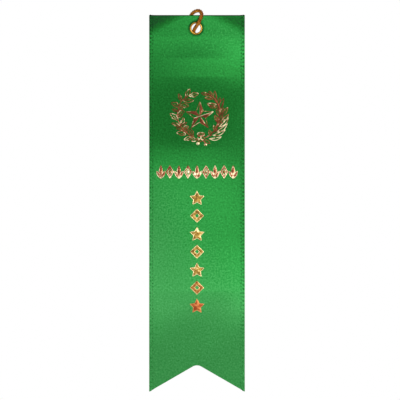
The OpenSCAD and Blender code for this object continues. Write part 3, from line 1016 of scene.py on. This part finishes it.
def foil_material(name, dark, plain, pale):
    """Foil over a weave: metal whose colour goes from dark through plain to pale as its painted highlight
    rises; the pale end is painted highlight and the dark end painted shade.
    """
    made, tree, shader = new_material(name, Metallic=0.8, Roughness=0.40, Specular_IOR_Level=0.5)
    # Random patches of painted highlight and painted shade over the foil
    painted_glint_patches = noise(tree, scale=520.0, detail=3.0, roughness=0.6)
    level = with_carried(tree, painted_glint_patches, gain=2.2, offset=-1.1, attribute="painted_highlight")
    own = ramp(tree, level, list(zip(foil_levels, (dark, plain, pale))))
    warmer = ramp(tree, level, copper_warms)
    warm = node(tree, "ShaderNodeAttribute", attribute_name="warm")
    colour = node(tree, "ShaderNodeMix", {0: warm.outputs["Fac"], 6: own, 7: warmer}, data_type="RGBA")
    weave = noise(tree, scale=1800.0, detail=2.0)
    dress(tree, shader, colour.outputs[2], height=weave, strength=0.4, depth=0.06 * MM)
    return made


# From dark to pale: painted shade, the foil's own colour, painted highlight
copper_foil = foil_material("copper_foil", dark=(0.11, 0.026, 0.009), plain=(0.26, 0.082, 0.030),
                            pale=(0.80, 0.65, 0.41))
gold_foil = foil_material("gold_foil", dark=(0.13, 0.065, 0.008), plain=(0.38, 0.225, 0.04),
                          pale=(0.90, 0.72, 0.38))

# %% [markdown]
# ### The star
# Each arm of the star has a solid half and an open half, so it looks folded along its ridges. A solid
# half is a plate, and thin lines draw the outline and the ridges.

# %% The star
star_low, star_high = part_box("foil_star")
star_r = (star_high.x - star_low.x) / 2 / math.cos(math.radians(18)) / MM
star_centre = ((star_low.x + star_high.x) / 2, star_high.z - star_r * MM)
star_root_share = 0.42
star_edge = (0.28, 0.40)
star_ridge = (0.26, 0.36)
painted_highlight_ridge = (0.26, 0.95)
painted_highlight_line = (0.30, 0.92)
star_inset = 0.97
star_hub = 0.02
short_of_tip = 0.9


def star_points(r, share=star_root_share):
    """A star's ten corners, anticlockwise from its top tip: tips at even places, roots between."""
    a = np.radians(90 + 36 * np.arange(10))
    reach = np.where(np.arange(10) % 2 == 0, r, r * share)
    return np.column_stack([reach * np.cos(a), reach * np.sin(a)])


# Each kind of line is (width, painted highlight). The ridge of the right arm has the most painted highlight.
corners = star_points(star_r)
plates, lines = [], [(finer(corners), True, *star_edge)]
for tip in range(0, 10, 2):
    solid_half = np.array([(0, 0), corners[tip - 1], corners[tip]])
    middle = solid_half.mean(axis=0)
    plates.append((*plate(middle + star_inset * (solid_half - middle)), 0.0))
    ridge = finer([star_hub * corners[tip], corners[tip]], closed=False)
    lines.append((ridge, False, *(painted_highlight_ridge if tip == 8 else star_ridge)))
# Two more lines in painted highlight: along the lower-left arm's edge, and from the left root in towards the
# middle
for a, b in ((short_of_tip * corners[4], corners[5]), (corners[3], star_hub * corners[3])):
    lines.append((finer([a, b], closed=False), False, *painted_highlight_line))
print(f"star of {star_r:.2f} mm, {len(plates)} solid halves")
pressed_mark("star_mark", "foil_star", copper_foil, star_centre, plates, lines)

# %% [markdown]
# ### The wreath
# Two branches rise from a tie. The left one has broad lobed leaves, and the right one has slim pointed
# leaves that bow round the wreath. Only stems, outlines and midribs are pressed, so the satin shows
# through every leaf. Small berries sit on both stems, more of them on the left one.

# %% The two branches, as (foot, tip, width, bow, painted highlight), in millimetres from the star's middle
stem_line = 0.62
leaf_line = 0.44
rib_line = 0.34
stem_step = 0.5
stem_painted_highlight = 0.34
rib_dimmer = 0.12
rib_from = 0.2
rib_to = 0.65
berry_painted_highlight = 0.62
berry_d = 0.8
first_berry = 4
# The leaves and berries paler than the stem carry painted highlight, most of all the lower right leaves
branches = {
    "wreath_left": dict(lobes=2, berry_every=9, stem=[
        (-2.8, -11.5), (-5.8, -9.8), (-8.4, -7.6), (-10.6, -4.4),
        (-11.9, -0.1), (-11.2, 4.8), (-9.6, 8.1), (-6.8, 10.4)], leaves=[
        ((-7.5, 9.6), (-5.5, 14.4), 2.5, 0.1, 0.36), ((-5.6, 10.7), (-0.8, 12.0), 2.5, 0.0, 0.62),
        ((-9.6, 8.0), (-11.3, 11.9), 1.7, -0.1, 0.28), ((-8.8, 8.3), (-3.4, 8.3), 2.1, 0.2, 0.40),
        ((-10.9, 4.8), (-15.0, 7.1), 2.6, 0.2, 0.26), ((-10.4, 5.4), (-6.0, 5.4), 2.4, -0.3, 0.42),
        ((-11.8, 1.0), (-8.2, 2.6), 2.3, 0.0, 0.36), ((-11.6, -2.2), (-15.7, 1.4), 2.7, 0.2, 0.46),
        ((-10.4, -4.6), (-8.6, -0.8), 2.0, 0.4, 0.56), ((-10.6, -5.6), (-14.9, -3.8), 1.7, 0.3, 0.36),
        ((-9.2, -6.4), (-5.9, -5.6), 2.0, 0.0, 0.42), ((-7.4, -9.7), (-12.2, -8.8), 2.6, 0.3, 0.46),
        ((-3.6, -10.6), (-5.2, -6.6), 2.0, 0.0, 0.34), ((-4.0, -11.6), (-8.4, -12.4), 2.1, 0.2, 0.62),
        ((-11.4, 3.4), (-9.2, 3.9), 1.5, 0.0, 0.24), ((-12.0, -0.6), (-9.4, 0.5), 1.5, 0.0, 0.40),
        ((-10.2, -4.6), (-7.0, -3.4), 1.4, 0.2, 0.30), ((-6.6, -8.9), (-7.2, -6.0), 1.6, 0.0, 0.26),
        ((-8.6, -7.2), (-12.4, -6.4), 1.6, 0.2, 0.24), ((-12.0, 2.6), (-14.6, 3.6), 1.5, 0.0, 0.30)]),
    "wreath_right": dict(lobes=0, berry_every=22, stem=[
        (2.6, -11.6), (5.6, -9.8), (8.4, -6.4), (9.8, -2.0),
        (10.6, 2.6), (9.6, 6.4), (7.4, 9.8), (4.2, 11.8)], leaves=[
        ((4.8, 11.4), (0.7, 12.3), 1.4, 0.0, 0.20), ((6.4, 10.4), (4.9, 13.3), 1.5, 0.0, 0.24),
        ((9.0, 7.0), (8.0, 13.5), 1.7, -0.4, 0.26), ((7.0, 9.2), (2.6, 9.7), 1.5, 0.2, 0.50),
        ((8.8, 6.2), (3.9, 6.7), 1.7, -0.4, 0.50), ((8.8, 4.6), (4.4, 6.2), 1.2, -0.5, 0.30),
        ((11.0, 3.2), (12.7, 9.6), 1.8, -0.4, 0.26), ((9.8, 5.2), (10.8, 9.8), 1.4, -0.2, 0.26),
        ((10.8, -0.2), (8.7, 3.6), 1.5, 0.0, 0.34), ((11.5, 0.2), (14.9, 4.7), 1.6, 0.2, 0.28),
        ((9.7, -3.6), (8.0, 0.5), 1.5, 0.0, 0.28), ((11.6, -2.2), (15.3, 1.0), 1.4, 0.4, 0.56),
        ((10.3, -5.7), (15.1, -0.9), 1.5, 0.5, 0.66), ((9.0, -8.4), (14.6, -4.0), 1.5, 0.6, 0.72),
        ((6.9, -10.2), (13.5, -7.2), 1.4, 0.7, 0.74), ((4.9, -12.0), (11.5, -10.9), 1.3, 0.7, 0.76),
        ((8.6, -8.0), (7.3, -5.0), 1.4, 0.0, 0.36), ((5.9, -10.6), (5.0, -7.4), 1.5, 0.0, 0.40),
        ((9.9, -3.4), (12.2, 0.2), 1.2, 0.2, 0.26), ((10.6, 0.6), (12.7, 4.4), 1.2, 0.0, 0.24),
        ((10.2, 3.0), (9.3, 7.0), 1.2, 0.0, 0.24), ((9.2, -5.6), (11.6, -2.8), 1.1, 0.2, 0.28),
        ((9.6, -4.0), (9.3, -0.4), 1.1, 0.0, 0.24), ((7.2, -8.6), (9.6, -6.0), 1.1, 0.2, 0.34)]),
}

# %% Pressing the branches
for name, plan in branches.items():
    stem = smooth_route(np.insert(np.array(plan["stem"]), 1, 0, axis=1), stem_step)[0][:, ::2]
    drawn = [(stem, False, stem_line, stem_painted_highlight)]
    for foot, tip, width, bow, painted_highlight in plan["leaves"]:
        drawn.append((leaf_between(foot, tip, width, bow, plan["lobes"]), True, leaf_line, painted_highlight))
        rib = np.array([[1 - rib_from, rib_from], [1 - rib_to, rib_to]]) @ np.array([foot, tip], float)
        drawn.append((finer(rib, closed=False), False, rib_line, painted_highlight - rib_dimmer))
    berries = [(*plate(oval_outline(*place, berry_d, berry_d, 8)), berry_painted_highlight)
               for place in stem[first_berry::plan["berry_every"]]]
    pressed_mark(name, f"foil_{name}", copper_foil, star_centre, berries, drawn)
    print(f"{name}: {len(plan['leaves'])} leaves and {len(berries)} berries")

# %% The tie: a bow, two straps, two leaves and two drops bright with painted highlight
tie_lines = [
    (oval_outline(0.6, -9.6, 3.9, 1.9), True, 0.6),
    (oval_outline(0.6, -9.8, 2.5, 0.9), True, 0.5),
    (oval_outline(-0.3, -11.4, 1.7, 1.5), True, 0.6),
    (oval_outline(1.5, -11.6, 1.9, 1.4), True, 0.4),
    (oval_outline(0.5, -12.9, 1.6, 1.2), True, 0.35),
    (finer([(-0.2, -12.2), (-1.0, -13.2), (-0.8, -14.2)], closed=False), False, 0.6),
    (finer([(1.5, -12.2), (2.2, -13.4), (2.8, -14.4)], closed=False), False, 0.5),
    (moved(leaf_outline(3.9, 1.5), -118, (2.0, -12.6)), True, 0.3),
    (moved(leaf_outline(3.4, 1.3), 108, (-1.2, -12.2)), True, 0.5),
]
tie_lines = [(outline, closed, leaf_line, painted_highlight) for outline, closed, painted_highlight in tie_lines]
drop_crown = 0.2
# The drops are pale with painted highlight
drop_painted_highlight = 0.9
drops = [(*plate(oval_outline(*oval), drop_crown), drop_painted_highlight)
         for oval in ((-1.0, -14.5, 1.8, 1.5), (3.0, -15.1, 1.6, 1.3))]
pressed_mark("wreath_tie", "foil_wreath_tie", copper_foil, star_centre, drops, tie_lines)
print("wreath and tie pressed")

# %% [markdown]
# ### The row and the column
# The row alternates sprigs and open lozenges, and the column stars and open lozenges. Each mark stands
# where its node does in the frame. A pale line of painted highlight runs round every edge. In the row,
# each mark's foil is paler at its foot and darker at its top, painted light and shade.

# %% Marks of the row
row_line = 0.30
row_painted_highlight = 0.30
# The pale line round each edge is painted highlight
row_line_painted_highlight = 0.72
# Painted light: the row's marks paler at the foot and darker at the top
row_painted_gradient = (0.34, -0.24)
leaf_w = 1.9
side_leaf_w = 1.4
side_leaf_share = 0.66
side_leaf_turn = 30
lozenge_half = 2.0
lozenge_hole = 0.58
boss = (1.2, 1.6)
boss_painted_highlight = 0.4


def stands_at(name):
    """Where a mark's node is: the middle of its box in metres, and how tall it is in millimetres."""
    low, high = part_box(name)
    return ((low.x + high.x) / 2, (low.z + high.z) / 2), (high.z - low.z) / MM


for number in range(1, 10):
    centre, tall = stands_at(f"foil_row_{number}")
    foot = (0, -tall / 2)
    if number % 2:
        outlines = [moved(leaf_outline(tall, leaf_w), 0, foot)]
        outlines += [moved(leaf_outline(side_leaf_share * tall, side_leaf_w), turn, foot)
                     for turn in (-side_leaf_turn, side_leaf_turn)]
        plates = [(*plate(outline), row_painted_highlight) for outline in outlines]
        lines = [(outline, True, row_line, row_line_painted_highlight) for outline in outlines]
    else:
        lozenge = np.array([(0, tall / 2), (-lozenge_half, 0), foot, (lozenge_half, 0)])
        plates = [(*band(lozenge, lozenge_hole), row_painted_highlight),
                  (*plate(oval_outline(0, 0, *boss, 12)), boss_painted_highlight)]
        lines = [(finer(lozenge * share), True, row_line, row_line_painted_highlight) for share in (1, 0.56)]
    pressed_mark(f"row_mark_{number}", f"foil_row_{number}", copper_foil, centre,
                 plates, lines, fade=row_painted_gradient)

# %% Marks of the column: the lowest two are warmer
column_line = 0.34
column_painted_highlight = 0.32
# The pale line round each edge is painted highlight
column_line_painted_highlight = 0.9
column_root_share = 0.50
column_hole = 0.4
# The same painted gradient, weaker, in the column
column_painted_gradient = (0.05, -0.08)
column_warmth = {6: 0.35, 7: 0.9}
# A star's lower tips are this far below its middle, when its top tip is 1 above it.
foot_share = math.cos(math.radians(36))
for number in range(1, 8):
    centre, tall = stands_at(f"foil_column_{number}")
    if number % 2:
        reach = tall / (1 + foot_share)
        outline = star_points(reach, column_root_share) - (0, tall / 2 - reach * foot_share)
        outline = outline - (0, (outline[:, 1].max() + outline[:, 1].min()) / 2)
        plates = [(*plate(outline), column_painted_highlight)]
        lines = [(finer(outline), True, column_line, column_line_painted_highlight)]
    else:
        outline = np.array([(0, 1), (-1, 0), (0, -1), (1, 0)]) * tall / 2
        plates = [(*band(outline, column_hole), column_painted_highlight)]
        lines = [(finer(outline * share), True, column_line, column_line_painted_highlight) for share in (1, 0.39)]
    pressed_mark(f"column_mark_{number}", f"foil_column_{number}", gold_foil, centre,
                 plates, lines, fade=column_painted_gradient, warm=column_warmth.get(number, 0.0))
print("nine marks in the row and seven in the column")
